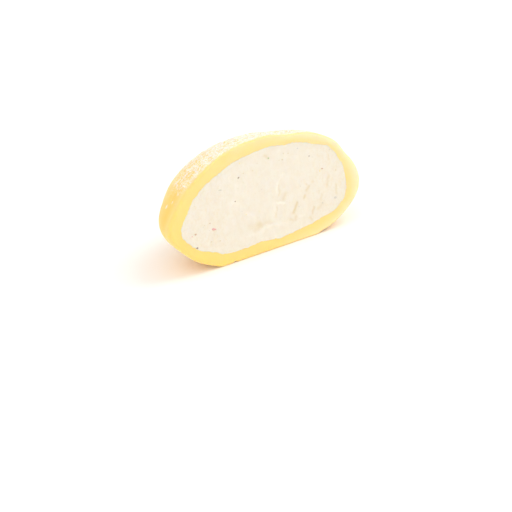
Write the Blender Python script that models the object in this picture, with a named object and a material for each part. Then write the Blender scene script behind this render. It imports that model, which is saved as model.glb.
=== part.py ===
"""Half of a mochi rice cake: a skin of soft rice dough round a cream filling.

The whole cake was a low dome that had settled flat on its underside, and it was cut down the middle.
The half stands on that flat underside. +X runs along the cut face, +Y from the cut face to the back
and +Z up. The origin is the middle of the footprint, on the surface that the half stands on.
"""

from math import asin, atan2, degrees, exp, radians

import bmesh
import bpy
from mathutils import Matrix, Vector, noise

MM = 0.001

# Driving dimensions of the cake, measured on the half
CAKE_WIDTH = 46.0 * MM
CAKE_REACH = 22.4 * MM
WAIST_HEIGHT = 9.6 * MM
CROWN_RISE = 15.8 * MM
UNDERSIDE_DROP = 11.6 * MM
SETTLED_FOLD = 0.3 * MM

# The dough and the cream at the cut
SKIN_THICKNESS = 2.5 * MM
OUTER_EDGE_ROUNDING = 0.7 * MM
INNER_EDGE_ROUNDING = 0.35 * MM
CREAM_SET_BACK = 0.25 * MM
FITTING_GAP = 0.3 * MM

# Hand-made unevenness of the back: how high its soft lumps are, and how many fit in the cake's radius
LUMP_HEIGHT = 0.45 * MM
LUMPS_PER_RADIUS = 1.7

# Facets round the cut, from the cut to the back, and on a rounded edge
FACETS_ROUND = 96
OUTER_RINGS = 14
INNER_RINGS = 9
EDGE_STEPS = 3

# Swellings (+) and dents (-) of the outline at the cut, as (clock angle, height, spread).
# The clock is in degrees round the middle of the waist: 0 is +X, 90 the crown and -90 the underside.
SWELLINGS = (
    (-1, 0.65 * MM, 12),
    (18, -0.40 * MM, 6),
    (27, 0.55 * MM, 13),
    (44, 0.35 * MM, 11),
    (64, -0.35 * MM, 8),
    (85, 0.15 * MM, 9),
    (111, 0.25 * MM, 15),
    (146, -0.20 * MM, 13),
    (176, 1.05 * MM, 8),
    (-168, -0.45 * MM, 8),
    (-152, -0.20 * MM, 9),
    (-61, 0.10 * MM, 9),
    (-38, -0.45 * MM, 7),
)

# Where the dough was folded thick (+) or stretched thin (-) when it was wrapped, on the same clock
THICKNESS_CHANGES = (
    (0, 1.25 * MM, 11),
    (18, -0.35 * MM, 7),
    (35, -0.75 * MM, 12),
    (40, 0.60 * MM, 7),
    (59, -0.50 * MM, 8),
    (104, 0.45 * MM, 17),
    (129, 0.45 * MM, 12),
    (163, 0.15 * MM, 6),
    (174, 0.55 * MM, 8),
    (-169, -0.10 * MM, 6),
    (-150, 0.50 * MM, 11),
    (-105, 0.25 * MM, 9),
    (-74, -0.30 * MM, 12),
    (-60, 0.15 * MM, 9),
    (-47, 0.25 * MM, 6),
    (-32, 0.70 * MM, 11),
    (-23, -0.35 * MM, 6),
)

# Both kinds fade out this many degrees behind the cut.
FADE_TO_BACK = 30

DOUGH_COLOUR = (0.94, 0.66, 0.23, 1.0)
CREAM_COLOUR = (0.93, 0.87, 0.74, 1.0)
DOUGH_ROUGHNESS = 0.6
CREAM_ROUGHNESS = 0.5


def clear_scene():
    for obj in list(bpy.data.objects):
        bpy.data.objects.remove(obj)


def food_material(name, colour, roughness):
    material = bpy.data.materials.new(name)
    material.use_nodes = True
    shader = material.node_tree.nodes["Principled BSDF"]
    shader.inputs["Base Color"].default_value = colour
    shader.inputs["Roughness"].default_value = roughness
    shader.inputs["Metallic"].default_value = 0.0
    return material


def sum_of_bumps(bumps, clock):
    """The height that soft bumps, each (clock angle, height, spread), add up to at one clock angle."""
    total = 0.0
    for angle, height, spread in bumps:
        away = (clock - angle + 180) % 360 - 180
        total += height * exp(-((away / spread) ** 2))
    return total


def settle(height, table):
    """What would sink below the table lies flat on it, and a soft fold leads up from the flat."""
    above = height - table
    if above >= SETTLED_FOLD:
        return height
    if above <= -SETTLED_FOLD:
        return table
    return table + (above + SETTLED_FOLD) ** 2 / (4 * SETTLED_FOLD)


def cake_point(direction, depth):
    """The point that lies this deep under the cake's outside, in a unit direction from its waist."""
    tall = CROWN_RISE if direction.z > 0 else UNDERSIDE_DROP
    radii = Vector((CAKE_WIDTH / 2, CAKE_REACH, tall))
    smooth = direction * radii
    outwards = Vector(d / r for d, r in zip(direction, radii)).normalized()
    clock = degrees(atan2(smooth.z, smooth.x))
    fade = exp(-((degrees(asin(direction.y)) / FADE_TO_BACK) ** 2))
    swelling = sum_of_bumps(SWELLINGS, clock) * fade
    swelling += LUMP_HEIGHT * noise.noise(direction * LUMPS_PER_RADIUS) * direction.y
    if depth > 0:
        depth += sum_of_bumps(THICKNESS_CHANGES, clock) * fade
    point = smooth + outwards * (swelling - depth)
    height = settle(WAIST_HEIGHT + point.z, depth)
    return Vector((point.x, max(point.y, 0.0), height))


def add_half_dome(mesh, rings, depth):
    """Adds the cake's form behind the cut, open at the cut. Returns its faces and its edge there."""
    pole_to_the_back = Matrix.Rotation(radians(-90), 3, "X").to_4x4()
    ball = bmesh.ops.create_uvsphere(
        mesh, u_segments=FACETS_ROUND, v_segments=2 * rings, radius=1.0, matrix=pole_to_the_back
    )
    tiny = 1e-4
    front = [vert for vert in ball["verts"] if vert.co.y < -tiny]
    dome = [vert for vert in ball["verts"] if vert.co.y >= -tiny]
    bmesh.ops.delete(mesh, geom=front, context="VERTS")
    faces = list({face for vert in dome for face in vert.link_faces})
    cut_edge = list({edge for vert in dome for edge in vert.link_edges if edge.is_boundary})
    for vert in dome:
        direction = vert.co.normalized()
        direction.y = 0.0 if direction.y < tiny else min(direction.y, 1.0)
        vert.co = cake_point(direction, depth)
    return faces, cut_edge


def round_edge(mesh, edges, width):
    bmesh.ops.bevel(
        mesh,
        geom=edges,
        offset=width,
        offset_type="OFFSET",
        segments=EDGE_STEPS,
        profile=0.5,
        affect="EDGES",
        material=-1,
    )


def add_piece(name, mesh, set_back, material):
    """Makes a closed mesh an object, with its cut face this far behind the plane of the cut."""
    bmesh.ops.translate(mesh, verts=mesh.verts, vec=(0, set_back - CAKE_REACH / 2, 0))
    bmesh.ops.recalc_face_normals(mesh, faces=mesh.faces)
    data = bpy.data.meshes.new(name)
    mesh.to_mesh(data)
    mesh.free()
    data.shade_smooth()
    data.set_sharp_from_angle(angle=radians(50))
    data.materials.append(material)
    piece = bpy.data.objects.new(name, data)
    bpy.context.scene.collection.objects.link(piece)
    return piece


def dough_skin():
    """The wrapper: an outer and an inner half dome, joined by the band of dough that the cut shows."""
    mesh = bmesh.new()
    _, outer_edge = add_half_dome(mesh, OUTER_RINGS, 0.0)
    inside, inner_edge = add_half_dome(mesh, INNER_RINGS, SKIN_THICKNESS)
    bmesh.ops.reverse_faces(mesh, faces=inside)
    bmesh.ops.bridge_loops(mesh, edges=outer_edge + inner_edge)
    round_edge(mesh, outer_edge, OUTER_EDGE_ROUNDING)
    inner_edge = [edge for edge in inner_edge if edge.is_valid]
    round_edge(mesh, inner_edge, INNER_EDGE_ROUNDING)
    dough = food_material("rice dough", DOUGH_COLOUR, DOUGH_ROUGHNESS)
    return add_piece("dough_skin", mesh, 0.0, dough)


def cream_filling():
    """The filling behind its own flat cut face, clear of the dough all round."""
    mesh = bmesh.new()
    _, cut_edge = add_half_dome(mesh, INNER_RINGS, SKIN_THICKNESS + FITTING_GAP)
    bmesh.ops.contextual_create(mesh, geom=cut_edge)
    cream = food_material("cream", CREAM_COLOUR, CREAM_ROUGHNESS)
    return add_piece("cream_filling", mesh, CREAM_SET_BACK, cream)


def main():
    clear_scene()
    dough_skin()
    cream_filling()


main()
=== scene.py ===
# %% [markdown]
# # A mochi rice cake, cut in half
#
# The real thing is a ball of sweetened cream wrapped by hand in soft rice dough, dusted with starch
# so that it doesn't stick, and cut down the middle with a knife. This lesson dresses the two solids
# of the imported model, the dough skin and the cream filling, with the surfaces that the eye expects:
# a smooth cut band of dough, a powdery outside, and a cut face of cream with smears and flecks.
#
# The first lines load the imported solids. They fix where everything is, and its size.

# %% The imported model
import random
from functools import lru_cache
from math import asin, atan2, cos, degrees, exp, hypot, pi, radians, sin

import bmesh
import bpy
from mathutils import Matrix, Vector, noise
from mathutils.bvhtree import BVHTree


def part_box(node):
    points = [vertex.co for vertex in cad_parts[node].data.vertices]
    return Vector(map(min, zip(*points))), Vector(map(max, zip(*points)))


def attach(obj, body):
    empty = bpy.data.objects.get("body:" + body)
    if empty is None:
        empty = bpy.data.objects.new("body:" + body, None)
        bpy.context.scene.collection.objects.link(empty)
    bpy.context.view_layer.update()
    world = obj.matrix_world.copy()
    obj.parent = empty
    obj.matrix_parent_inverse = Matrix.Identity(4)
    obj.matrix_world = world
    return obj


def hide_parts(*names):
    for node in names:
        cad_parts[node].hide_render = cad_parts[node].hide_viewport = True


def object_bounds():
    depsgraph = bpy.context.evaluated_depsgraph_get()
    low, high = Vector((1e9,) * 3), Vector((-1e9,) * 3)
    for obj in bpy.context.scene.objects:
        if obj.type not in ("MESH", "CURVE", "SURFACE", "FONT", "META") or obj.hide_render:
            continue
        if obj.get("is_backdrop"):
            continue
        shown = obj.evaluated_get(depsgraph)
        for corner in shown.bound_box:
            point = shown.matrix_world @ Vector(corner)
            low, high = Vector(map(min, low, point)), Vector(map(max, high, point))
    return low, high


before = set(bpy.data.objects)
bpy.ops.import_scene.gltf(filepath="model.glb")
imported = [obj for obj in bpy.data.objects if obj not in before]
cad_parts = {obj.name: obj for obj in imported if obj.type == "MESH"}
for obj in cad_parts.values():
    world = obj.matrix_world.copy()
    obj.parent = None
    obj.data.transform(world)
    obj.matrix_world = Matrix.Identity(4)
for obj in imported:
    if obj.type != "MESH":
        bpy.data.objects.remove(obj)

MM = 0.001
CAD_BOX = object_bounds()
for node in ("dough_skin", "cream_filling"):
    low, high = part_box(node)
    print(node, "spans", [round((b - a) / MM, 1) for a, b in zip(low, high)], "mm")

# %% [markdown]
# ## The form of the cake
#
# A filled rice cake is a low dome: wide at its waist, round on top, and pressed flat underneath by
# its own weight. One could sculpt it, but the finer pieces have to lie exactly where the solids are,
# so they are made from the same named sizes, by the same rule. A direction from the middle of the
# waist gives a point of a ball, the ball is stretched to the cake's three radii, small swellings
# make it hand-made, and whatever would hang below the table is laid flat on it.

# %% Sizes of the cake
HALF_WIDTH = 23.0 * MM
REACH = 22.4 * MM
WAIST_HEIGHT = 9.6 * MM
CROWN_RISE = 15.8 * MM
UNDERSIDE_DROP = 11.6 * MM
SETTLED_FOLD = 0.3 * MM
CUT_PLANE = -REACH / 2
SKIN_THICKNESS = 2.5 * MM
LUMP_HEIGHT = 0.45 * MM
LUMPS_PER_RADIUS = 1.7
FADE_TO_BACK = 30

# Swellings of the outline at the cut, as (clock angle, height, spread). The clock is in degrees
# round the middle of the waist: 0 is +X, 90 the crown and -90 the underside. This table and the
# next were fitted to the outline of the half and of its filling, and then rounded.
SWELLINGS = (
    (-1, 0.65 * MM, 12),
    (18, -0.40 * MM, 6),
    (27, 0.55 * MM, 13),
    (44, 0.35 * MM, 11),
    (64, -0.35 * MM, 8),
    (85, 0.15 * MM, 9),
    (111, 0.25 * MM, 15),
    (146, -0.20 * MM, 13),
    (176, 1.05 * MM, 8),
    (-168, -0.45 * MM, 8),
    (-152, -0.20 * MM, 9),
    (-61, 0.10 * MM, 9),
    (-38, -0.45 * MM, 7),
)

# Where the dough was folded thick or stretched thin when it was wrapped, on the same clock
THICKNESS_CHANGES = (
    (0, 1.25 * MM, 11),
    (18, -0.35 * MM, 7),
    (35, -0.75 * MM, 12),
    (40, 0.60 * MM, 7),
    (59, -0.50 * MM, 8),
    (104, 0.45 * MM, 17),
    (129, 0.45 * MM, 12),
    (163, 0.15 * MM, 6),
    (174, 0.55 * MM, 8),
    (-169, -0.10 * MM, 6),
    (-150, 0.50 * MM, 11),
    (-105, 0.25 * MM, 9),
    (-74, -0.30 * MM, 12),
    (-60, 0.15 * MM, 9),
    (-47, 0.25 * MM, 6),
    (-32, 0.70 * MM, 11),
    (-23, -0.35 * MM, 6),
)

# The line between dough and cream is ragged by hand, which the solids are too coarse to show.
RAGGED_HEIGHT = 0.22 * MM
RAGGED_SIZE = 1.5 * MM
RAGGED_REACH = 2.0 * MM
print(len(SWELLINGS), "swellings and", len(THICKNESS_CHANGES), "changes of thickness")


# %% A point of the cake
def smoothstep(low, high, value):
    t = min(max((value - low) / (high - low), 0.0), 1.0)
    return t * t * (3 - 2 * t)


def sum_of_bumps(bumps, clock):
    total = 0.0
    for angle, height, spread in bumps:
        away = (clock - angle + 180) % 360 - 180
        total += height * exp(-((away / spread) ** 2))
    return total


@lru_cache(maxsize=None)
def changes_at(clock):
    """The outline's swelling, the dough's change of thickness and its raggedness at a clock angle."""
    along_cut = Vector((HALF_WIDTH * cos(radians(clock)), CROWN_RISE * sin(radians(clock)), 0.0))
    ragged = noise.noise(along_cut / RAGGED_SIZE) + 0.5 * noise.noise(along_cut * 3 / RAGGED_SIZE)
    return sum_of_bumps(SWELLINGS, clock), sum_of_bumps(THICKNESS_CHANGES, clock), ragged


def settle(height, table):
    """What would sink below the table lies flat on it, and a soft fold leads up from the flat."""
    above = height - table
    if above >= SETTLED_FOLD:
        return height
    if above <= -SETTLED_FOLD:
        return table
    return table + (above + SETTLED_FOLD) ** 2 / (4 * SETTLED_FOLD)


def cake_point(azimuth, behind, sink=0.0, share=0.0):
    """A point at this azimuth round the cut, and behind it by this share of the way to the back.

    It lies sink metres, plus this share of the skin's thickness, under the outside. Returns the
    point, and the direction that is outwards there.
    """
    across = (1 - behind**2) ** 0.5
    direction = Vector((across * cos(azimuth), behind, across * sin(azimuth)))
    radii = Vector((HALF_WIDTH, REACH, CROWN_RISE if direction.z > 0 else UNDERSIDE_DROP))
    smooth = direction * radii
    outwards = Vector(d / r for d, r in zip(direction, radii)).normalized()
    clock = degrees(atan2(radii.z * sin(azimuth), radii.x * cos(azimuth)))
    swelling, thicker, ragged = changes_at(round(clock, 3))
    fade = exp(-((degrees(asin(behind)) / FADE_TO_BACK) ** 2))
    rise = swelling * fade + LUMP_HEIGHT * noise.noise(direction * LUMPS_PER_RADIUS) * behind
    thickness = SKIN_THICKNESS + thicker * fade
    thickness += RAGGED_HEIGHT * ragged * exp(-((smooth.y / RAGGED_REACH) ** 2))
    depth = sink + share * thickness
    point = smooth + outwards * (rise - depth)
    height = settle(WAIST_HEIGHT + point.z, depth)
    if height < depth + SETTLED_FOLD / 2:
        outwards = Vector((0, 0, -1))
    return Vector((point.x, CUT_PLANE + max(point.y, 0.0), height)), outwards


for name, azimuth in (("right", 0), ("crown", 90), ("left", 180)):
    point, _ = cake_point(radians(azimuth), 0.0)
    print(name, "of the cut:", [round(c / MM, 1) for c in point], "mm")

# %% [markdown]
# ## The camera
#
# Small food is photographed with a long lens from half a metre, so its outlines hardly converge.
# In the photograph the half leans, but here it stands level: the camera is rolled instead, which
# shows the same picture. It looks at the foot of the cut, because the half is above the middle of
# the picture.

# %% The camera
LENS = 150
SENSOR = 36
AIM = Vector((-5.64, -13.58, 1.06)) * MM
CAMERA_DISTANCE = 452.9 * MM
CAMERA_AZIMUTH = -27.58
CAMERA_ELEVATION = 21.57
CAMERA_ROLL = 8.22
NEAREST_SEEN = 0.01
FARTHEST_SEEN = 20


def make_camera():
    data = bpy.data.cameras.new("camera")
    data.lens = LENS
    data.sensor_width = SENSOR
    data.clip_start = NEAREST_SEEN
    data.clip_end = FARTHEST_SEEN
    camera = bpy.data.objects.new("camera", data)
    turn = Matrix.Rotation(radians(CAMERA_AZIMUTH), 4, "Z")
    tilt = Matrix.Rotation(radians(90 - CAMERA_ELEVATION), 4, "X")
    back_off = Matrix.Translation((0, 0, CAMERA_DISTANCE))
    roll = Matrix.Rotation(radians(-CAMERA_ROLL), 4, "Z")
    camera.matrix_world = Matrix.Translation(AIM) @ turn @ tilt @ back_off @ roll
    bpy.context.scene.collection.objects.link(camera)
    bpy.context.scene.camera = camera
    return camera


camera = make_camera()
print("camera at", [round(c / MM) for c in camera.matrix_world.translation], "mm")

# %% [markdown]
# ## The dough skin as one rolled sheet
#
# The skin is a bowl on its side: an outside, a rounded edge, the band that the knife cut, and an
# inside that holds the cream. Two half domes could be bridged, but a bevel can't be wider than the
# fine rings beside it. A flat sheet does better: it is rolled round the line from front to back, and
# its rows are sent along the section of the bowl one after another, out over the back, round the
# edge, across the band and in again. The edge is crisp where the knife went in, and rounder at the
# left, where the soft dough sagged. Then the sheet's seam and its two ends are welded, and it is
# closed.

# %% The section that the rows follow
OUTER_ROUNDING = 0.5 * MM
SAGGED_ROUNDING = 0.5 * MM
SAGGED_AT = 185
SAGGED_SPREAD = 35
INNER_ROUNDING = 0.04 * MM
OUTSIDE_ROWS = 154
EDGE_ROWS = 7
BAND_ROWS = 8
INSIDE_ROWS = 14


def rounding_at(azimuth):
    """The outer edge is crisp from the knife, but rounder at the left, where the dough sagged."""
    away = (degrees(azimuth) - SAGGED_AT + 180) % 360 - 180
    return OUTER_ROUNDING + SAGGED_ROUNDING * exp(-((away / SAGGED_SPREAD) ** 2))


@lru_cache(maxsize=None)
def skin_section(rounding):
    """One (behind, sink, share) for each row, from the back's outside to the back's inside."""
    section = []
    edge_start = asin(rounding / REACH)
    for i in range(OUTSIDE_ROWS):
        angle = pi / 2 + (edge_start - pi / 2) * i / OUTSIDE_ROWS
        section.append((sin(angle), 0.0, 0.0))
    for i in range(EDGE_ROWS):
        angle = pi / 2 * (1 - i / EDGE_ROWS)
        behind = rounding * (1 - cos(angle)) / REACH
        section.append((behind, rounding * (1 - sin(angle)), 0.0))
    for i in range(BAND_ROWS):
        share = i / BAND_ROWS
        section.append((0.0, rounding * (1 - share) - INNER_ROUNDING * share, share))
    for i in range(EDGE_ROWS):
        angle = pi / 2 * i / EDGE_ROWS
        behind = INNER_ROUNDING * (1 - cos(angle)) / REACH
        section.append((behind, INNER_ROUNDING * (sin(angle) - 1), 1.0))
    wall_start = asin(INNER_ROUNDING / REACH)
    for i in range(INSIDE_ROWS + 1):
        angle = wall_start + (pi / 2 - wall_start) * i / INSIDE_ROWS
        section.append((min(sin(angle), 1.0), 0.0, 1.0))
    return section


SKIN_ROWS = len(skin_section(OUTER_ROUNDING)) - 1
BAND_STARTS = OUTSIDE_ROWS + EDGE_ROWS
BAND_ENDS = BAND_STARTS + BAND_ROWS
print(SKIN_ROWS, "rows of faces for the dough skin")

# %% [markdown]
# ## Starch on the outside
#
# The cake was rolled in starch. It cakes into small soft clumps, half a millimetre wide, dense on
# the top and thinner down the flanks. Low down, where hands held the cake, only a few spots are
# left. The knife wiped a strip beside the cut too, a millimetre wide on top and wider down the
# flanks. The clumps are hardly a pixel high, but the outline and the shadows between them show, so
# they are real relief in the mesh. Two noises make them, one for the clumps and one for the grains
# in them. The share of white that they give is stored with each point, and the material whitens
# just what stands up.

# %% Where the starch is, and how it stands up
CLUMP_SPACING = 0.75 * MM
GRAIN_SPACING = 0.42 * MM
CLUMP_SHARE = 0.9
GRAIN_SHARE = 0.8
CAKED_FROM = 0.2
STARCH_HEIGHT = 0.13 * MM
RAISED_FROM = 0.3

# Starch starts where the outward direction is this upright, and is full where it would be this.
STARCH_FROM = 0.2
STARCH_FULL = 1.02
STARCH_FALLS_OFF = 3.5

SPOT_SIZE = 1.4 * MM
SPOT_LEVELS = (0.45, 0.65)
SPOT_COVER = 0.5
SPOTS_START = Vector((0.4, 5.2, 8.8))
WIPED_ON_FLANKS = 6.0 * MM
WIPED_ON_TOP = 0.9 * MM
RELIEF_SETS_IN = 2.5 * MM
PATCH_SIZE = 4.5 * MM
PATCHINESS = 0.12
PATCHES_START = Vector((3.1, 7.7, 1.9))
WRINKLE_SIZE = 1.6 * MM
WRINKLE_HEIGHT = 0.03 * MM
FACET_ROOM = 0.04 * MM
BARE_UP_TO = 1.0 * MM


def starch_cover(point, outwards):
    """How densely starch lies, from 0 to 1: most on top, in patches, none underneath."""
    patches = noise.noise(point / PATCH_SIZE + PATCHES_START)
    patches += 0.5 * noise.noise(point * 3 / PATCH_SIZE)
    level = (outwards.z + PATCHINESS * patches - STARCH_FROM) / (STARCH_FULL - STARCH_FROM)
    wiped_to = WIPED_ON_FLANKS + (WIPED_ON_TOP - WIPED_ON_FLANKS) * max(outwards.z, 0.0)
    wiped = smoothstep(0.0, wiped_to, point.y - CUT_PLANE)
    spots = SPOT_COVER * smoothstep(*SPOT_LEVELS, noise.noise(point / SPOT_SIZE + SPOTS_START))
    dense = min(max(level, 0.0), 1.0) ** STARCH_FALLS_OFF
    return (dense + spots * (1 - dense)) * wiped * smoothstep(0.0, BARE_UP_TO, point.z)


def caked_starch(point, cover):
    """How thick the starch is at a point, from 0 for bare dough to 1 for the top of a clump."""
    level = CLUMP_SHARE * noise.noise(point / CLUMP_SPACING)
    level += GRAIN_SHARE * noise.noise(point / GRAIN_SPACING)
    return min(max(0.5 + level, 0.0), 1.0) * smoothstep(0.0, CAKED_FROM, cover)


def surface_rise(point, cover, caked):
    """How far the dusted surface is from the round form: it lies deeper, inside the solid's facets."""
    wrinkle = 0.5 + 0.5 * noise.noise(point / WRINKLE_SIZE)
    dusted = STARCH_HEIGHT * (caked - 1) * smoothstep(0.0, RAISED_FROM, cover)
    dusted *= smoothstep(0.0, RELIEF_SETS_IN, point.y - CUT_PLANE)
    return dusted - (FACET_ROOM + WRINKLE_HEIGHT * wrinkle) * smoothstep(0.0, BARE_UP_TO, point.z)


print("the starch stands up to", round(STARCH_HEIGHT / MM, 2), "mm")

# %% [markdown]
# ## The wrapper piece
#
# Every row of the sheet is now sent to its place. Three things are stored with each point for the
# material: the caked starch, how far it is outside, and how near it is to the outer edge of the
# cut, where the material paints a highlight along the right part of the rim. The cut band gets a
# faint unevenness of its own, because a knife drags soft dough, and the knife also left a small nick
# in its lower edge.

# %% Build the wrapper
AROUND = 520
DUST_WHITE = 0.25
CAKED_WHITE = 1.5
BAND_UNEVENNESS = 0.03 * MM
DRAG_SIZE = 2.5 * MM
SKIN_STARTS = 0.4 * MM
SKIN_SETS_IN = 3.5 * MM
NICK_AT = Vector((-9.3 * MM, CUT_PLANE, 0.0))
NICK_DEPTH = 0.35 * MM
NICK_SIZE = Vector((0.35, 0.7, 1.1)) * MM
WELD = 0.001 * MM


def rolled_sheet(mesh, around, rows):
    """Adds a flat sheet, and gives each of its points with its azimuth and its row."""
    bmesh.ops.create_grid(mesh, x_segments=around, y_segments=rows, size=1.0)
    placed = []
    for vert in mesh.verts:
        step = round((vert.co.x + 1) / 2 * around) % around
        placed.append((vert, 2 * pi * step / around, round((vert.co.y + 1) / 2 * rows)))
    return placed


def weld_sheet(mesh):
    """Closes the seam and the two ends, where the sheet's open edges now lie together."""
    open_verts = [vert for vert in mesh.verts if vert.is_boundary]
    bmesh.ops.remove_doubles(mesh, verts=open_verts, dist=WELD)


def finish_mesh(name, mesh):
    """Turns a bmesh into a smooth object at the origin, with its normals facing out."""
    bmesh.ops.recalc_face_normals(mesh, faces=mesh.faces)
    data = bpy.data.meshes.new(name)
    mesh.to_mesh(data)
    mesh.free()
    data.shade_smooth()
    piece = bpy.data.objects.new(name, data)
    bpy.context.scene.collection.objects.link(piece)
    triangles = sum(len(face.vertices) - 2 for face in data.polygons)
    print(name, "has", triangles, "triangles")
    return piece


def nick(point):
    """How far the small nick in the band's lower edge lifts a point."""
    away = Vector(d / s for d, s in zip(point - NICK_AT, NICK_SIZE))
    return NICK_DEPTH * exp(-away.length_squared)


def build_wrapper():
    mesh = bmesh.new()
    starch = mesh.verts.layers.float.new("starch")
    outside = mesh.verts.layers.float.new("outside")
    rim = mesh.verts.layers.float.new("rim")
    for vert, azimuth, row in rolled_sheet(mesh, AROUND, SKIN_ROWS):
        rounding = rounding_at(azimuth)
        behind, sink, share = skin_section(rounding)[row]
        point, outwards = cake_point(azimuth, behind, sink, share)
        turned = smoothstep(0.0, rounding, sink) if row < BAND_STARTS else 1.0
        if row < BAND_STARTS:
            cover = starch_cover(point, outwards)
            caked = caked_starch(point, cover)
            vert[starch] = min(cover * (DUST_WHITE + CAKED_WHITE * caked), 1.0) * (1 - turned)
            vert[outside] = smoothstep(SKIN_STARTS, SKIN_SETS_IN, point.y - CUT_PLANE)
            point += outwards * surface_rise(point, cover, caked) * (1 - turned)
        elif row < BAND_ENDS:
            point.y += BAND_UNEVENNESS * (1 - share) * (0.5 + 0.5 * noise.noise(point / DRAG_SIZE))
        # How near the outer edge of the cut; the material paints a highlight there on the right
        vert[rim] = turned * (1 - share)
        point.z += nick(point)
        vert.co = point
    weld_sheet(mesh)
    return finish_mesh("dough_wrapper", mesh)


wrapper = build_wrapper()

# %% [markdown]
# ## The cream filling
#
# The cream fills the skin, so its outline is a little larger than the hole that it shows through,
# and no gap opens along the dough. It is a rolled sheet too: its first rows line the skin, and the
# others close the front from the rim to the middle, for the cut face.
#
# A knife leaves a soft cut. It drags the cream up and down, which leaves short streaks at both ends
# and a smooth middle, it pushes up a low ridge near the bottom with a hollow above it, and it opens
# a few grooves. Where cream is smeared thin it is paler, and the ridge and a few short streaks carry a
# painted highlight. The hollows carry painted shade, and the grooves are darker, partly by their own
# tan and partly as painted shade.

# %% Marks on the cut face
FACE_SET_BACK = 0.12 * MM
SMEARED_UP = 0.11 * MM
SMEARED_RIM = 0.10
REACH_INTO_DOUGH = 0.15 * MM
FACE_MIDDLE = Vector((0.0, 11.6)) * MM
DRAG_HEIGHT = 0.03 * MM
DRAG_LENGTH = 2.6 * MM
DRAG_WIDTH = 0.8 * MM
DRAG_LEAN = 0.1
FINER_DRAG = 2.5
WOBBLE = 0.25
WOBBLE_SIZE = 0.8 * MM
MARK_ENDS = 3

# In millimetres across the face: the middle of its smooth part, how far from there it stays
# smooth, and how far from there it is fully streaky
SMOOTH_AT = 1.0
SMOOTH_MIDDLE = 8.0
STREAKY_ENDS = 14.0

# Marks in millimetres on the cut face: where each starts and ends, its width, height and tint.
# A tint above 0 is darker than the cream, and below 0 paler. In the hollows the darker tint is painted
# shade, in the grooves partly so, and on the ridge and short bright smears the paler tint is a
# painted highlight.
# Grooves are darkened, partly by their own tan and partly as painted shade in the groove.
GROOVES = (
    ((7.4, 8.6), (6.2, 6.7), 0.38, -0.05, 0.55),
    ((10.7, 11.3), (10.1, 10.6), 0.30, -0.05, 0.38),
    ((9.5, 9.7), (9.1, 9.2), 0.32, -0.05, 0.5),
    ((10.3, 12.1), (10.2, 11.9), 0.25, -0.03, 0.35),
    ((11.9, 12.4), (11.9, 12.0), 0.25, -0.03, 0.25),
    ((13.0, 9.6), (12.9, 9.0), 0.25, -0.03, 0.25),
    ((3.5, 13.7), (3.4, 11.6), 0.25, -0.03, 0.25),
    ((4.8, 11.4), (4.1, 10.5), 0.45, -0.03, 0.3),
    ((6.6, 5.7), (6.5, 5.0), 0.34, -0.03, 0.3),
    ((5.2, 5.3), (5.7, 5.1), 0.32, -0.02, 0.25),
    ((11.3, 6.4), (10.8, 5.2), 0.28, -0.05, 0.42),
    ((10.2, 4.3), (10.5, 3.6), 0.35, -0.05, 0.35),
    ((13.7, 8.6), (13.3, 7.7), 0.35, -0.02, 0.25),
    ((12.2, 5.7), (13.4, 6.5), 0.40, -0.03, 0.25),
    ((17.5, 9.9), (17.3, 7.9), 0.27, -0.04, 0.32),
    ((15.4, 11.0), (15.3, 10.1), 0.30, -0.03, 0.25),
    ((15.9, 12.5), (15.6, 11.4), 0.30, -0.03, 0.22),
    ((16.5, 16.9), (16.5, 15.9), 0.25, -0.03, 0.28),
    ((1.8, 7.7), (1.8, 7.3), 0.25, -0.02, 0.25),
    ((2.4, 9.0), (2.3, 8.5), 0.25, -0.02, 0.25),
    ((1.1, 21.2), (1.6, 20.7), 0.35, 0.00, 0.35),
)
# The hollows' darker tint is painted shade.
SHADED_HOLLOWS = (
    ((-5.1, 6.9), (-2.6, 6.6), 0.70, -0.04, 0.18),
    ((-2.6, 6.6), (0.6, 6.1), 0.55, -0.06, 0.22),
    ((-3.8, 5.4), (-2.0, 6.0), 0.42, -0.05, 0.2),
)
# Smears are painted paler; on the ridge near the bottom and on a few short bright streaks the paleness is a
# painted highlight.
SMEARS_AND_HIGHLIGHTS = (
    ((-6.1, 4.9), (-4.4, 4.7), 0.50, 0.04, -0.2),
    ((-3.9, 4.7), (-2.0, 5.3), 0.60, 0.05, -0.12),
    ((-2.0, 5.3), (-0.5, 5.5), 0.60, 0.05, -0.15),
    ((-0.5, 5.5), (1.7, 5.3), 0.55, 0.05, -0.15),
    ((1.7, 5.3), (4.2, 4.8), 0.50, 0.05, -0.15),
    ((2.4, 10.1), (4.2, 9.5), 0.28, 0.04, -0.55),
    ((4.6, 16.1), (3.1, 14.2), 0.28, 0.02, -0.2),
    ((3.1, 14.2), (2.5, 11.9), 0.30, 0.025, -0.3),
    ((1.7, 10.1), (0.9, 6.6), 0.40, 0.015, -0.15),
    ((7.4, 5.5), (8.6, 5.4), 0.25, 0.03, -0.3),
    ((-6.5, 17.1), (-7.0, 15.5), 0.30, 0.02, -0.2),
    ((-8.0, 13.3), (-6.9, 12.7), 0.60, 0.03, -0.3),
    ((-6.7, 15.2), (-6.8, 14.5), 0.50, 0.03, -0.15),
    ((-7.7, 19.5), (-8.2, 18.1), 0.30, 0.03, -0.25),
    ((-5.2, 13.8), (-4.8, 14.7), 0.40, 0.02, -0.15),
    ((-6.6, 11.5), (-5.1, 9.9), 0.30, 0.03, -0.12),
    ((-5.1, 9.9), (-3.3, 8.5), 0.36, 0.04, -0.2),
)
MARKS = GROOVES + SHADED_HOLLOWS + SMEARS_AND_HIGHLIGHTS
print(len(MARKS), "marks on the cut face")


def beside_mark(x, z, start, end):
    """How far a point of the cut face is from a mark, in millimetres."""
    along_x, along_z = end[0] - start[0], end[1] - start[1]
    t = ((x - start[0]) * along_x + (z - start[1]) * along_z) / hypot(along_x, along_z) ** 2
    t = min(max(t, 0.0), 1.0)
    return hypot(x - start[0] - t * along_x, z - start[1] - t * along_z)


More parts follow.
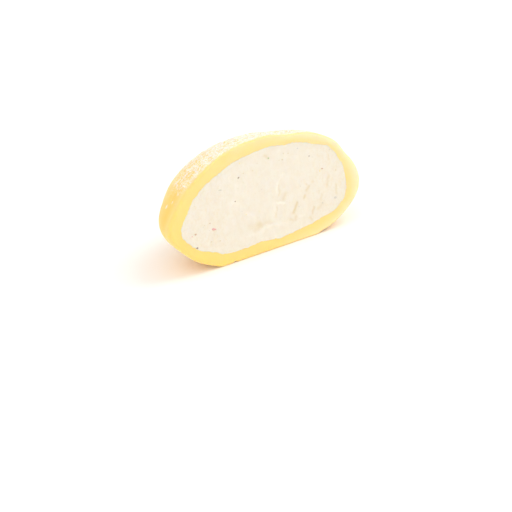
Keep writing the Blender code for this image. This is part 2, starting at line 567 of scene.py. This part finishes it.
def cream_relief(point):
    """How far the cream stands out of its cut face, and its tint, with painted shade and highlights: darker
    above 0, paler below.
    """
    x, z = point.x / MM, point.z / MM
    along, across = point.z / DRAG_LENGTH, (point.x - DRAG_LEAN * point.z) / DRAG_WIDTH
    drag = noise.noise(Vector((across, along, 0.0)))
    drag += 0.5 * noise.noise(Vector((FINER_DRAG * across, FINER_DRAG * along, 4.0)))
    height = DRAG_HEIGHT * drag
    tint = 0.0
    x += WOBBLE * noise.noise(point / WOBBLE_SIZE)
    z += WOBBLE * noise.noise(point / WOBBLE_SIZE + Vector((9.0, 0.0, 0.0)))
    for start, end, width, mark_height, mark_tint in MARKS:
        away = beside_mark(x, z, start, end) / width
        if away < MARK_ENDS:
            near = exp(-(away**2))
            height += mark_height * MM * near
            tint += mark_tint * near
    return height, tint


# %% Build the filling
CREAM_AROUND = 560
LINING_ROWS = 18
FACE_ROWS = 130


def build_filling():
    mesh = bmesh.new()
    tints = mesh.verts.layers.float.new("tint")
    streaks = mesh.verts.layers.float.new("streaky")
    for vert, azimuth, row in rolled_sheet(mesh, CREAM_AROUND, LINING_ROWS + FACE_ROWS):
        behind = max(cos(pi / 2 * row / LINING_ROWS), 0.0) if row < LINING_ROWS else 0.0
        point, _ = cake_point(azimuth, behind, -REACH_INTO_DOUGH, 1.0)
        point.y = max(point.y, CUT_PLANE + FACE_SET_BACK)
        if row >= LINING_ROWS:
            inwards = (row - LINING_ROWS) / FACE_ROWS
            point.x += (FACE_MIDDLE.x - point.x) * inwards
            point.z += (FACE_MIDDLE.y - point.z) * inwards
            height, vert[tints] = cream_relief(point)
            height += SMEARED_UP * (1 - smoothstep(0.0, SMEARED_RIM, inwards))
            point.y = max(CUT_PLANE, CUT_PLANE + FACE_SET_BACK - height)
            vert[streaks] = smoothstep(SMOOTH_MIDDLE, STREAKY_ENDS, abs(point.x / MM - SMOOTH_AT))
        vert.co = point
    weld_sheet(mesh)
    return finish_mesh("cream_cut", mesh)


filling = build_filling()

# %% [markdown]
# ## Flecks in the cream
#
# The cream holds specks of what flavours it: dark, brown, tan, green, pink, yellow and grey, 0.2 to
# 1.2 mm across. Each is a small flattened lump, pressed into the cut face. A ray from the front
# finds how far forward the cream is at its place. The clear ones are listed one by one, and the faint
# ones are scattered by a seeded draw, because only their number shows.

# %% Where the flecks are
# (across, up, length, width) in millimetres on the cut face, and a turn in degrees
FLECKS = {
    "dark_flecks": (
        (-5.8, 18.3, 0.52, 0.42, 20),
        (-17.95, 6.05, 0.64, 0.44, 15),
        (-7.4, 13.4, 0.36, 0.32, 0),
        (11.8, 18.0, 0.33, 0.29, 0),
    ),
    "brown_flecks": (
        (-17.7, 9.1, 0.66, 0.50, 0),
        (14.6, 14.3, 0.55, 0.38, -15),
        (-14.0, 10.5, 0.36, 0.30, 0),
    ),
    "tan_flecks": (
        (5.6, 20.4, 0.34, 0.28, 0),
        (6.8, 20.1, 0.32, 0.26, 0),
        (-4.5, 18.9, 0.30, 0.24, 0),
        (-0.9, 20.1, 0.30, 0.24, 0),
        (-14.3, 6.4, 0.55, 0.30, 10),
        (-12.2, 6.0, 0.45, 0.28, 0),
        (4.4, 19.2, 0.25, 0.22, 0),
        (-15.3, 10.4, 0.26, 0.24, 0),
        (5.2, 19.1, 0.55, 0.38, 10),
        (-2.2, 18.8, 0.30, 0.26, 0),
        (17.9, 13.0, 0.60, 0.28, 80),
    ),
    "green_flecks": ((1.9, 20.4, 0.52, 0.44, 0),),
    "pink_flecks": (
        (-13.25, 8.9, 1.20, 0.64, -14),
        (-18.6, 8.9, 0.42, 0.22, 35),
    ),
    "yellow_flecks": (
        (-5.1, 21.3, 0.42, 0.38, 0),
        (-5.2, 9.8, 0.30, 0.28, 0),
        (13.9, 14.0, 0.60, 0.35, 70),
    ),
    "grey_flecks": (
        (-10.5, 16.9, 1.00, 0.42, -8),
        (13.6, 6.7, 0.52, 0.34, 10),
        (16.9, 6.9, 0.80, 0.66, 0),
        (9.2, 20.5, 0.50, 0.34, -10),
        (12.5, 17.6, 0.24, 0.22, 0),
        (8.7, 12.0, 0.24, 0.22, 0),
        (7.7, 7.6, 0.26, 0.22, 0),
        (-0.7, 14.1, 0.28, 0.24, 0),
        (-6.1, 10.8, 0.24, 0.22, 0),
        (-15.7, 10.1, 0.22, 0.20, 0),
        (-14.4, 9.0, 0.24, 0.20, 0),
        (16.9, 18.0, 0.28, 0.26, 0),
    ),
}
print(sum(len(places) for places in FLECKS.values()), "flecks placed by eye")

# %% Scatter the faint flecks
FAINT_FLECKS = 34
FAINT_SEED = 11
FAINT_SIZES = (0.16, 0.30)
FAINT_WIDTHS = (0.6, 1.0)

# In millimetres on the cut face: where they are drawn, and the oval that they are kept in
FAINT_ACROSS = (-20, 19)
FAINT_UP = (3, 22)
OVAL_MIDDLE = (-0.5, 11.6)
OVAL_RADII = (19, 9)
OVAL_SHARE = 0.9


def in_oval(x, z):
    across = (x - OVAL_MIDDLE[0]) / OVAL_RADII[0]
    up = (z - OVAL_MIDDLE[1]) / OVAL_RADII[1]
    return across**2 + up**2 < OVAL_SHARE


def faint_places(count, sizes):
    draw = random.Random(FAINT_SEED)
    places = []
    while len(places) < count:
        x, z = draw.uniform(*FAINT_ACROSS), draw.uniform(*FAINT_UP)
        if in_oval(x, z):
            size = draw.uniform(*sizes)
            places.append((x, z, size, size * draw.uniform(*FAINT_WIDTHS), draw.uniform(0, 180)))
    return places


FLECKS["faint_flecks"] = faint_places(FAINT_FLECKS, FAINT_SIZES)
print(len(FLECKS["faint_flecks"]), "faint flecks drawn")

# %% Press the flecks in
FLECK_THICKNESS = 0.12 * MM
FLECK_SUNK = 0.03 * MM
FLECK_UNEVENNESS = 0.25
BEHIND_CUT = 0.003 * MM


def cut_surface(piece):
    """The piece's faces, sorted so that a ray can find the one that it hits."""
    corners = [vert.co for vert in piece.data.vertices]
    return BVHTree.FromPolygons(corners, [face.vertices for face in piece.data.polygons])


def build_flecks(name, places, surface):
    """Flattened, slightly uneven lumps whose middles lie just under the cream's cut face."""
    mesh = bmesh.new()
    for x, z, length, width, turn in places:
        lump = bmesh.ops.create_icosphere(mesh, subdivisions=2, radius=0.5)["verts"]
        for vert in lump:
            vert.co *= 1 + FLECK_UNEVENNESS * noise.noise(vert.co * 3 + Vector((x, 0, z)))
        hit, *_ = surface.ray_cast(Vector((x * MM, -1.0, z * MM)), Vector((0, 1, 0)))
        place = Matrix.Translation(hit + Vector((0, FLECK_SUNK, 0)))
        place @= Matrix.Rotation(radians(-turn), 4, "Y")
        place @= Matrix.Diagonal((length * MM, FLECK_THICKNESS, width * MM, 1.0))
        bmesh.ops.transform(mesh, matrix=place, verts=lump)
        for vert in lump:
            vert.co.y = max(vert.co.y, CUT_PLANE + BEHIND_CUT)
    return finish_mesh(name, mesh)


cream_face = cut_surface(filling)
flecks = {name: build_flecks(name, places, cream_face) for name, places in FLECKS.items()}

# %% [markdown]
# ## Loose starch
#
# Besides the caked starch there are loose crumbs of it. They are tiny lumps of twenty faces, sunk by
# half into the dusted surface and joined in one mesh. One lump is doubled again and again, which is
# much quicker than making thousands, and each is then sent to a place where the starch is dense.

# %% Scatter the crumbs
CRUMB_DOUBLINGS = 12
CRUMB_POINTS = 12
CRUMB_SEED = 5
CRUMB_SIZES = (0.10 * MM, 0.26 * MM)
CRUMB_WIDTHS = (0.7, 1.3)
CRUMB_HEIGHTS = (0.5, 0.8)
CRUMB_SUNK = 0.25
CRUMB_INSIDE = 0.42

# They start this share of the way to the back, and gather in clusters, with a few strays between.
CRUMBS_START = 0.05
CRUMB_CLUSTER = 1.1 * MM
CLUSTER_LEVELS = (-0.1, 0.35)
STRAYS = 0.1


def crumb_place(draw):
    """Draws points of the outside until one is in a cluster, and returns where a crumb lies there."""
    while True:
        azimuth, behind = draw.uniform(0, 2 * pi), draw.uniform(CRUMBS_START, 1.0)
        point, outwards = cake_point(azimuth, behind)
        cover = starch_cover(point, outwards)
        cluster = smoothstep(*CLUSTER_LEVELS, noise.noise(point / CRUMB_CLUSTER))
        if draw.random() < cover * (STRAYS + (1 - STRAYS) * cluster):
            size = draw.uniform(*CRUMB_SIZES)
            rise = surface_rise(point, cover, caked_starch(point, cover))
            point += outwards * min(rise - CRUMB_SUNK * size, -CRUMB_INSIDE * size)
            return point, outwards, size


def build_crumbs():
    draw = random.Random(CRUMB_SEED)
    mesh = bmesh.new()
    bmesh.ops.create_icosphere(mesh, subdivisions=1, radius=0.5)
    for _ in range(CRUMB_DOUBLINGS):
        bmesh.ops.duplicate(mesh, geom=mesh.verts[:] + mesh.edges[:] + mesh.faces[:])
    verts = list(mesh.verts)
    for first in range(0, len(verts), CRUMB_POINTS):
        point, outwards, size = crumb_place(draw)
        stand = outwards.to_track_quat("Z", "Y").to_matrix().to_4x4()
        spin = Matrix.Rotation(draw.uniform(0, 2 * pi), 4, "Z")
        length, width = draw.uniform(*CRUMB_WIDTHS), draw.uniform(*CRUMB_WIDTHS)
        shape = Matrix.Diagonal((length, width, draw.uniform(*CRUMB_HEIGHTS), 1.0))
        place = Matrix.Translation(point) @ stand @ spin @ shape @ Matrix.Scale(size, 4)
        for vert in verts[first : first + CRUMB_POINTS]:
            vert.co = place @ vert.co
    return finish_mesh("starch_crumbs", mesh)


crumbs = build_crumbs()

# %% [markdown]
# ## Colours and a helper for nodes
#
# Colours are picked as they look on a screen, so they are sRGB hex values, and one function turns
# them into the linear values that a shader needs. One more function adds a node, sets it up and
# links it, so that a material reads like a list of its nodes.

# %% Helpers
# The colour sockets of a Mix node share their names with its number sockets, so they go by index.
FACTOR, FIRST, SECOND, MIXED = 0, 6, 7, 2
COLOURS = {"data_type": "RGBA"}


def colour(code):
    """A linear RGBA colour from an sRGB hex code."""
    parts = [int(code[i : i + 2], 16) / 255 for i in (1, 3, 5)]
    linear = [p / 12.92 if p <= 0.04045 else ((p + 0.055) / 1.055) ** 2.4 for p in parts]
    return (*linear, 1.0)


def add(tree, kind, inputs, output=0, settings=None):
    """Adds a node, and returns one of its outputs. An input gets a value, or a socket to link from."""
    node = tree.nodes.new("ShaderNode" + kind)
    for name, value in (settings or {}).items():
        setattr(node, name, value)
    for name, value in inputs.items():
        if isinstance(value, bpy.types.NodeSocket):
            tree.links.new(value, node.inputs[name])
        else:
            node.inputs[name].default_value = value
    return node.outputs[output] if node.outputs else None


def new_material(name):
    """An empty material, its tree, and the Object coordinates that its patterns are laid out on."""
    material = bpy.data.materials.new(name)
    material.use_nodes = True
    material.node_tree.nodes.clear()
    where = add(material.node_tree, "TexCoord", {}, "Object")
    return material, material.node_tree, where


def finish_material(tree, looks, height, relief):
    """Ends a material: a noise or mask gives relief this high, and the shader gets all the looks."""
    normal = add(tree, "Bump", {"Strength": 0.5, "Distance": relief, "Height": height})
    shader = add(tree, "BsdfPrincipled", {"Normal": normal, **looks})
    add(tree, "OutputMaterial", {"Surface": shader})


print("the sRGB grey #808080 is", round(colour("#808080")[0], 3), "in linear values")


# %% [markdown]
# ## Rice dough
#
# Cooked rice dough, coloured yellow. It is a translucent gel: light goes in and comes out up to
# half a millimetre on, redder than it went in, so thin parts glow and shadows stay warm. The knife
# left the band smooth and bright. Its yellow is painted deeper at the lower left, as shade, and paler
# towards the upper right, where the light falls, with a painted highlight along the right rim. The
# outside is a deeper yellow, whitened wherever starch cakes on it.

# %% The dough's colours
# The low colour is painted shade at the lower left of the cut, the high one painted light at its upper
# right.
DOUGH_PAINTED_SHADE = "#FFD37B"
DOUGH_PAINTED_LIGHT = "#FFD8A0"
DOUGH_CLOUDED = "#FFD584"
# A highlight painted along the right rim
DOUGH_RIM_HIGHLIGHT = "#FFE3BC"
DOUGH_OUTSIDE = "#FFCA63"
DOUGH_OUTSIDE_DEEP = "#FFC055"
STARCH_WHITE = "#FFEADE"
DOUGH_CLOUDS = 3.5 * MM
STARCH_POWDER = 0.30 * MM
DOUGH_GLOW = (1.0, 0.6, 0.25)
DOUGH_GLOW_DEPTH = 0.5 * MM
DOUGH_RELIEF = 0.03 * MM

# Pale is painted light: it counts up from the lower left of the cut to its upper right, about 0 to 1.
PAINTED_LIGHT_DIRECTION = (16.7, 0.0, 22.9)
PAINTED_LIGHT_LOW = -0.25
PAINTED_LIGHT_HIGH = 0.75

# A highlight is painted along the rim on the right, and this counts up to 1 towards there.
RIM_HIGHLIGHT_DIRECTION = (35.0, 0.0, 12.0)


# %% The dough's material
def rice_dough():
    material, tree, where = new_material("rice dough")
    starch = add(tree, "Attribute", {}, "Fac", {"attribute_name": "starch"})
    outside = add(tree, "Attribute", {}, "Fac", {"attribute_name": "outside"})
    rim = add(tree, "Attribute", {}, "Fac", {"attribute_name": "rim"})

    # Yellow that is painted paler upwards, as light, and deeper below, as shade, with faint clouds in it
    along = add(tree, "VectorMath", {0: where, 1: PAINTED_LIGHT_DIRECTION}, "Value", {"operation": "DOT_PRODUCT"})
    pale = add(tree, "MapRange", {"Value": along, "From Min": PAINTED_LIGHT_LOW, "From Max": PAINTED_LIGHT_HIGH})
    clouds = add(tree, "TexNoise", {"Vector": where, "Scale": 1 / DOUGH_CLOUDS, "Detail": 3.0}, "Fac")
    clouded = {"Value": clouds, "From Min": 0.35, "From Max": 0.75, "To Max": 0.6}
    clouds = add(tree, "MapRange", clouded)
    shades = {FACTOR: pale, FIRST: colour(DOUGH_PAINTED_SHADE), SECOND: colour(DOUGH_PAINTED_LIGHT)}
    cut = add(tree, "Mix", shades, MIXED, COLOURS)
    cut = add(tree, "Mix", {FACTOR: clouds, FIRST: cut, SECOND: colour(DOUGH_CLOUDED)}, MIXED, COLOURS)

    # A painted highlight along the right part of the rim
    near_rim = add(tree, "MapRange", {"Value": rim, "From Min": 0.35, "From Max": 1.0})
    highlight_side = add(tree, "VectorMath", {0: where, 1: RIM_HIGHLIGHT_DIRECTION}, "Value", {"operation": "DOT_PRODUCT"})
    highlight_side = add(tree, "Clamp", {"Value": highlight_side})
    rim_highlight = add(tree, "Math", {0: near_rim, 1: highlight_side}, settings={"operation": "MULTIPLY"})
    cut = add(tree, "Mix", {FACTOR: rim_highlight, FIRST: cut, SECOND: colour(DOUGH_RIM_HIGHLIGHT)}, MIXED, COLOURS)

    # The deeper outside
    shades = {FACTOR: clouds, FIRST: colour(DOUGH_OUTSIDE), SECOND: colour(DOUGH_OUTSIDE_DEEP)}
    rolled = add(tree, "Mix", shades, MIXED, COLOURS)
    dough = add(tree, "Mix", {FACTOR: outside, FIRST: cut, SECOND: rolled}, MIXED, COLOURS)

    # Starch, its clumps broken up by powder
    powder = add(tree, "TexNoise", {"Vector": where, "Scale": 1 / STARCH_POWDER, "Detail": 2.0}, "Fac")
    loose = {"Value": powder, "From Min": 0.4, "From Max": 0.6, "To Min": 0.1, "To Max": 1.9}
    loose = add(tree, "MapRange", loose)
    white = add(tree, "Math", {0: starch, 1: loose}, settings={"operation": "MULTIPLY"})
    base = add(tree, "Mix", {FACTOR: white, FIRST: dough, SECOND: colour(STARCH_WHITE)}, MIXED, COLOURS)

    roughness = add(tree, "MapRange", {"Value": outside, "To Min": 0.45, "To Max": 0.8})
    looks = {
        "Base Color": base,
        "Roughness": roughness,
        "IOR": 1.4,
        "Subsurface Weight": 0.8,
        "Subsurface Radius": DOUGH_GLOW,
        "Subsurface Scale": DOUGH_GLOW_DEPTH,
        "Specular IOR Level": 0.25,
        "Sheen Weight": 0.3,
        "Sheen Roughness": 0.4,
    }
    finish_material(tree, looks, powder, DOUGH_RELIEF)
    return material


# %% [markdown]
# ## Cream
#
# Sweetened cream, whipped, chilled and cut. It scatters light almost as milk does, so it looks
# soft and hardly shaded. The stored tint darkens its grooves, partly as painted shade, paints shade
# into its hollows, and lightens its smears, partly as painted highlights.
# The dabs that the knife dragged out are too many to place, so a noise that is stretched upwards
# makes them, and a stored number keeps them away from the smooth middle.

# %% The cream's colours
CREAM = "#E4DDCF"
CREAM_DEEP = "#E2D9C8"
CREAM_DAB = "#DECBA8"
# The groove colour is the grooves' tan and the painted shade in grooves and hollows.
GROOVE_TAN_AND_SHADE = "#D4BC88"
# The smear colour is paler cream, and a painted highlight on the ridge and short bright streaks.
SMEAR_AND_HIGHLIGHT = "#F0EBE0"
CREAM_CLOUDS = 1.6 * MM
CREAM_GRAIN = 0.3 * MM
DAB_WIDTH = 0.5 * MM
DAB_STRETCH = 0.75
DABS_AT_ENDS = 0.1
DAB_LEAN = radians(6)
CREAM_GLOW = (1.0, 0.8, 0.5)
CREAM_GLOW_DEPTH = 0.35 * MM
CREAM_RELIEF = 0.04 * MM


# %% The cream's material
def cream():
    material, tree, where = new_material("whipped cream")
    tint = add(tree, "Attribute", {}, "Fac", {"attribute_name": "tint"})
    streaky = add(tree, "Attribute", {}, "Fac", {"attribute_name": "streaky"})

    clouds = add(tree, "TexNoise", {"Vector": where, "Scale": 1 / CREAM_CLOUDS, "Detail": 4.0}, "Fac")
    clouds = add(tree, "MapRange", {"Value": clouds, "From Min": 0.35, "From Max": 0.65})
    shades = {FACTOR: clouds, FIRST: colour(CREAM), SECOND: colour(CREAM_DEEP)}
    base = add(tree, "Mix", shades, MIXED, COLOURS)

    # Dabs, denser and clearer at both ends of the cut
    stretch = {"Vector": where, "Rotation": (0.0, DAB_LEAN, 0.0), "Scale": (1.0, 1.0, DAB_STRETCH)}
    dragged = add(tree, "Mapping", stretch)
    dabs = add(tree, "TexNoise", {"Vector": dragged, "Scale": 1 / DAB_WIDTH, "Detail": 2.0}, "Fac")
    dabs = add(tree, "Math", {0: streaky, 1: DABS_AT_ENDS, 2: dabs}, settings={"operation": "MULTIPLY_ADD"})
    dabs = add(tree, "MapRange", {"Value": dabs, "From Min": 0.56, "From Max": 0.80, "To Max": 0.28})
    base = add(tree, "Mix", {FACTOR: dabs, FIRST: base, SECOND: colour(CREAM_DAB)}, MIXED, COLOURS)

    # Grooves, partly in painted shade, hollows in painted shade, and smears with painted highlights
    base = add(tree, "Mix", {FACTOR: tint, FIRST: base, SECOND: colour(GROOVE_TAN_AND_SHADE)}, MIXED, COLOURS)
    pale = add(tree, "MapRange", {"Value": tint, "From Min": 0.0, "From Max": -1.0})
    base = add(tree, "Mix", {FACTOR: pale, FIRST: base, SECOND: colour(SMEAR_AND_HIGHLIGHT)}, MIXED, COLOURS)

    grains = add(tree, "TexNoise", {"Vector": where, "Scale": 1 / CREAM_GRAIN, "Detail": 3.0}, "Fac")
    roughness = add(tree, "MapRange", {"Value": grains, "To Min": 0.45, "To Max": 0.7})
    looks = {
        "Base Color": base,
        "Roughness": roughness,
        "IOR": 1.35,
        "Subsurface Weight": 0.6,
        "Subsurface Radius": CREAM_GLOW,
        "Subsurface Scale": CREAM_GLOW_DEPTH,
        "Specular IOR Level": 0.25,
    }
    finish_material(tree, looks, grains, CREAM_RELIEF)
    return material


# %% [markdown]
# ## Flecks and starch
#
# A fleck is a bit of skin, seed or fruit, so it is matt and mottled by its own fibres. A film of
# cream lies over most of them, so they look paler than they are. Starch crumbs are white and matt,
# with a little light inside.

# %% Materials of the small things
FIBRE_SIZE = 0.12 * MM
STARCH_GRAIN = 0.15 * MM
SMALL_RELIEF = 0.02 * MM
SMALL_GLOW = (1.0, 0.8, 0.6)
SMALL_GLOW_DEPTH = 0.4 * MM
FLECK_GLOW = 0.2
STARCH_GLOW = 0.4
STARCH_COLOURS = ("#FAF0D8", "#F8EAC8")
FLECK_COLOURS = {
    "dark_flecks": ("#A38D7C", "#948171"),
    "brown_flecks": ("#C8A68C", "#D2B49A"),
    "tan_flecks": ("#D3C19C", "#DCCDAE"),
    "green_flecks": ("#AEBA8C", "#BCC69C"),
    "pink_flecks": ("#DC9A93", "#E6B0A6"),
    "yellow_flecks": ("#EDD888", "#EFDDA0"),
    "grey_flecks": ("#CAC2B6", "#D3CBBF"),
    "faint_flecks": ("#DDD3BC", "#E2D9C6"),
}


def small_matter(name, first, second, size, glow):
    material, tree, where = new_material(name)
    fibres = add(tree, "TexNoise", {"Vector": where, "Scale": 1 / size, "Detail": 2.0}, "Fac")
    mottled = add(tree, "MapRange", {"Value": fibres, "From Min": 0.35, "From Max": 0.65})
    shades = {FACTOR: mottled, FIRST: colour(first), SECOND: colour(second)}
    looks = {
        "Base Color": add(tree, "Mix", shades, MIXED, COLOURS),
        "Roughness": add(tree, "MapRange", {"Value": fibres, "To Min": 0.6, "To Max": 0.9}),
        "Subsurface Weight": glow,
        "Subsurface Radius": SMALL_GLOW,
        "Subsurface Scale": SMALL_GLOW_DEPTH,
    }
    finish_material(tree, looks, fibres, SMALL_RELIEF)
    return material


# %% Put each material on its piece
wrapper.data.materials.append(rice_dough())
filling.data.materials.append(cream())
starch_matter = small_matter("rice starch", *STARCH_COLOURS, STARCH_GRAIN, STARCH_GLOW)
crumbs.data.materials.append(starch_matter)
for name, piece in flecks.items():
    matter = small_matter(name.replace("_", " "), *FLECK_COLOURS[name], FIBRE_SIZE, FLECK_GLOW)
    piece.data.materials.append(matter)
for piece in (wrapper, filling, crumbs, *flecks.values()):
    print(piece.name, "is finished in", piece.active_material.name)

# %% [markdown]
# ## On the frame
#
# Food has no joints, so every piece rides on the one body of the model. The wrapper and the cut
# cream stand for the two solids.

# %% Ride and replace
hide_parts("dough_skin")
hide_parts("cream_filling")
slots = [(wrapper, "rice_dough"), (filling, "cream"), (crumbs, "rice_dough")]
slots += [(piece, "cream") for piece in flecks.values()]
for piece, slot in slots:
    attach(piece, "root")
print(len(slots), "pieces ride on the root body")

# %% [markdown]
# ## The table
#
# The half stands on a table of white laminate. The real one is pressed from melamine, so it is even
# and matt, with the faintest clouds in its white and in its gloss. A flat grid is enough for it,
# wide enough that its edges are out of view.

# %% The table
TABLE_SIZE = 3.0
LAMINATE_CLOUDS = 30 * MM
LAMINATE_RELIEF = 0.1 * MM
LAMINATE_WHITE = "#FBFAF8"
LAMINATE_CLOUDED = "#F8F7F5"


def make_table():
    mesh = bmesh.new()
    bmesh.ops.create_grid(mesh, x_segments=2, y_segments=2, size=TABLE_SIZE / 2)
    table = finish_mesh("table", mesh)
    material, tree, where = new_material("white laminate")
    cloudy = add(tree, "TexNoise", {"Vector": where, "Scale": 1 / LAMINATE_CLOUDS}, "Fac")
    shades = {FACTOR: cloudy, FIRST: colour(LAMINATE_WHITE), SECOND: colour(LAMINATE_CLOUDED)}
    looks = {
        "Base Color": add(tree, "Mix", shades, MIXED, COLOURS),
        "Roughness": add(tree, "MapRange", {"Value": cloudy, "To Min": 0.6, "To Max": 0.8}),
    }
    finish_material(tree, looks, cloudy, LAMINATE_RELIEF)
    table.data.materials.append(material)
    table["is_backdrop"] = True


make_table()

# %% [markdown]
# ## The light
#
# Sweets like this are shot high-key: white table, white room, so much soft light that the palest
# parts nearly burn out. A white world lights all sides evenly, a large soft box from above and the
# right makes the upper right the brightest, and a weaker one in front and to the left keeps the
# lower left of the cut clear.

# %% World and soft boxes
WORLD_STRENGTH = 0.98
BOX_SIZE = 0.6


def make_world():
    world = bpy.data.worlds.new("white room")
    world.use_nodes = True
    background = world.node_tree.nodes["Background"]
    background.inputs["Color"].default_value = (1.0, 1.0, 1.0, 1.0)
    background.inputs["Strength"].default_value = WORLD_STRENGTH
    bpy.context.scene.world = world


def soft_box(name, place, power):
    """A square light that faces the half."""
    data = bpy.data.lights.new(name, "AREA")
    data.size = BOX_SIZE
    data.energy = power
    light = bpy.data.objects.new(name, data)
    light.location = place
    towards = Vector((0, 0, WAIST_HEIGHT)) - light.location
    light.rotation_euler = towards.to_track_quat("-Z", "Y").to_euler()
    bpy.context.scene.collection.objects.link(light)
    print(name, "of", power, "watts is", round(towards.length, 2), "m from the half")


make_world()
soft_box("soft box above", (0.52, -0.20, 0.62), 2.4)
soft_box("soft box in front", (-0.45, -0.62, 0.45), 1.25)
bpy.context.scene.view_settings.view_transform = "Standard"

# %% [markdown]
# ## Sizes, and the end
#
# Both boxes, the imported solids' and the finished pieces', are printed. The finished pieces must
# stay inside the imported solids' box.

# %% Write the two boxes and finish
SEEN_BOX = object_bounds()
for name, box in (("solids", CAD_BOX), ("pieces", SEEN_BOX)):
    print(name, [[round(c / MM, 2) for c in corner] for corner in box], "mm")
